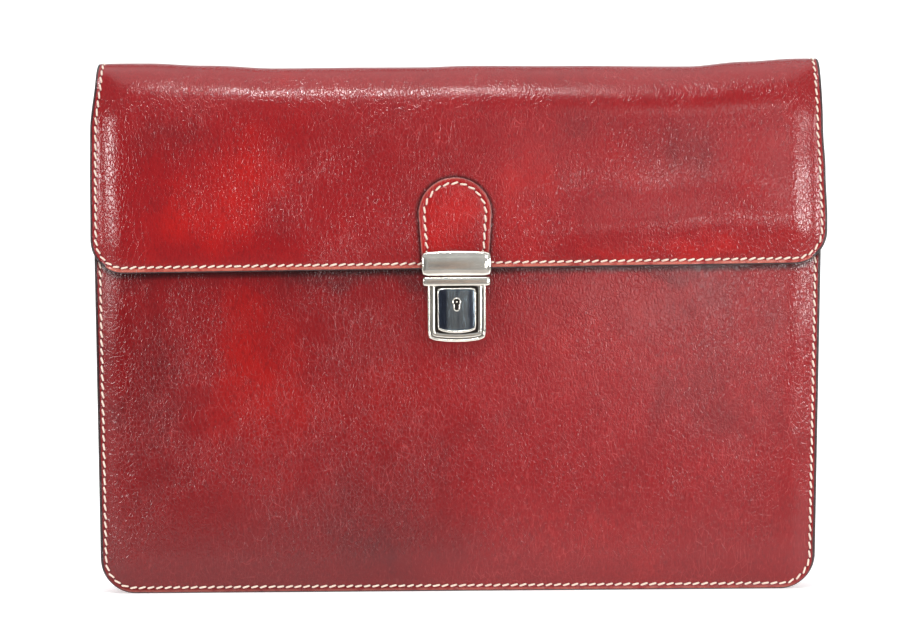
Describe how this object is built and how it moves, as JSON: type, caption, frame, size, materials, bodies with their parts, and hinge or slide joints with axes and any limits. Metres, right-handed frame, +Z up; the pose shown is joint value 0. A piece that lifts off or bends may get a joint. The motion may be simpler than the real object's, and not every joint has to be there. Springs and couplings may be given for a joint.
{
  "type": "leather document case",
  "caption": "Slim stitched leather document case with a wrap-over flap, a folded gusset and a metal push lock on a small leather tab.",
  "frame": {"origin": "middle of the bounding box at the bottom, on the surface that the case stands on", "axes": "+X along the case to the right as its front is seen, +Y from the front to the back, +Z up"},
  "size_m": [0.3818, 0.0472, 0.2765],
  "materials": {
    "leather": "glossy, waxed",
    "gusset_leather": "satin",
    "nickel": "polished",
    "dark_metal": "polished"
  },
  "bodies": {
    "case": {"front_panel": "leather", "back_and_flap": "leather", "gusset": "gusset_leather", "flap_tab": "leather", "catch_plate": "nickel", "lock_body": "nickel"},
    "slider": {"lock_slider": "nickel", "slider_face": "dark_metal", "keyhole_ring": "nickel"}
  },
  "joints": [
    {"name": "lock_slide", "type": "slide", "parent": "case", "child": "slider", "axis": [0, 0, -1], "range_m": [0, 0.0025], "stiffness_N_per_m": 500, "springref_m": -0.001}
  ]
}
